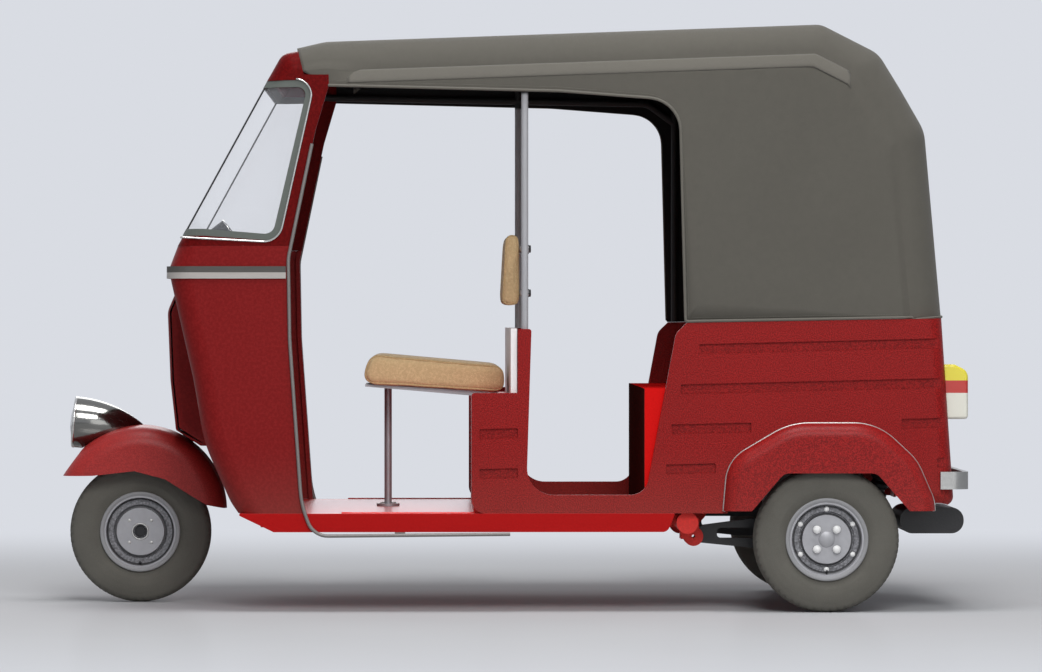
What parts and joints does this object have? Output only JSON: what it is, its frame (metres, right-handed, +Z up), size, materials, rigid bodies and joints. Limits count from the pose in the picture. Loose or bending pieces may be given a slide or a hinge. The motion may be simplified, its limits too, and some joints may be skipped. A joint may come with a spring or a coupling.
{
  "type": "auto rickshaw",
  "caption": "Open-sided auto rickshaw with one steered front wheel, a soft canopy, a driver's saddle seat and a passenger bench over a rear engine.",
  "frame": {"origin": "on the ground under the middle of the vehicle's box", "axes": "front towards -X, +Z up, +Y towards the vehicle's right side"},
  "size_m": [2.632, 1.3, 1.6934],
  "materials": {
    "body_paint": "semi-gloss",
    "bright_paint": "gloss",
    "black_steel": "satin",
    "grey_steel": "satin",
    "rim_paint": "satin",
    "chrome": "polished",
    "tyre": "matt",
    "seal_rubber": "matt",
    "glass": "clear",
    "canopy_cloth": "matt coated cloth",
    "seat_cloth": "coarse weave",
    "white_board": "satin",
    "lamp_plastic": "gloss",
    "dark_plastic": "matt",
    "alloy": "as cast"
  },
  "bodies": {
    "chassis": {"chassis_frame": "bright_paint", "floor_pan": "bright_paint", "front_cowl": "body_paint", "nose_cover": "body_paint", "windscreen_frame": "body_paint", "windscreen_gasket": "seal_rubber", "windscreen_glass": "glass", "waist_trim": "chrome", "dashboard": "dark_plastic", "entry_beads": "grey_steel", "driver_seat_base": "body_paint", "driver_seat_post": "grey_steel", "driver_cushion": "seat_cloth", "driver_backrest": "seat_cloth", "partition_panel": "white_board", "body_side_left": "body_paint", "body_side_right": "body_paint", "rear_panel": "body_paint", "passenger_seat_base": "bright_paint", "passenger_cushion": "seat_cloth", "passenger_backrest": "seat_cloth", "fender_left": "body_paint", "fender_right": "body_paint", "tail_lamps": "lamp_plastic", "rear_bumper": "chrome", "silencer": "black_steel", "engine_block": "alloy", "trailing_arms": "black_steel", "rear_dampers": "black_steel", "canopy": "canopy_cloth", "canopy_frame": "grey_steel", "canopy_middle_bow": "grey_steel", "canopy_rear_bow": "grey_steel"},
    "steering": {"steering_fork": "black_steel", "front_damper": "black_steel", "handlebar": "dark_plastic", "front_mudguard": "bright_paint", "headlamp_shell": "chrome", "headlamp_lens": "glass"},
    "front_wheel": {"front_tyre": "tyre", "front_rim": "rim_paint"},
    "rear_wheel_left": {"rear_tyre_left": "tyre", "rear_rim_left": "rim_paint", "drive_shaft_left": "black_steel"},
    "rear_wheel_right": {"rear_tyre_right": "tyre", "rear_rim_right": "rim_paint", "drive_shaft_right": "black_steel"},
    "lid": {"engine_lid": "body_paint"}
  },
  "joints": [
    {"name": "steering", "type": "hinge", "parent": "chassis", "child": "steering", "pos_m": [-0.947, 0, 0.488], "axis": [0.4226, 0, 0.9063], "range_deg": [-40, 40]},
    {"name": "front_wheel_spin", "type": "hinge", "parent": "steering", "child": "front_wheel", "pos_m": [-1.088, 0, 0.209], "axis": [0, 1, 0], "continuous": true},
    {"name": "rear_left_spin", "type": "hinge", "parent": "chassis", "child": "rear_wheel_left", "pos_m": [0.905, -0.575, 0.209], "axis": [0, 1, 0], "continuous": true},
    {"name": "rear_right_spin", "type": "hinge", "parent": "chassis", "child": "rear_wheel_right", "pos_m": [0.905, 0.575, 0.209], "axis": [0, 1, 0], "continuous": true},
    {"name": "engine_lid_hinge", "type": "hinge", "parent": "chassis", "child": "lid", "pos_m": [1.24775, 0, 0.8], "axis": [0, -1, 0], "range_deg": [0, 75]}
  ]
}
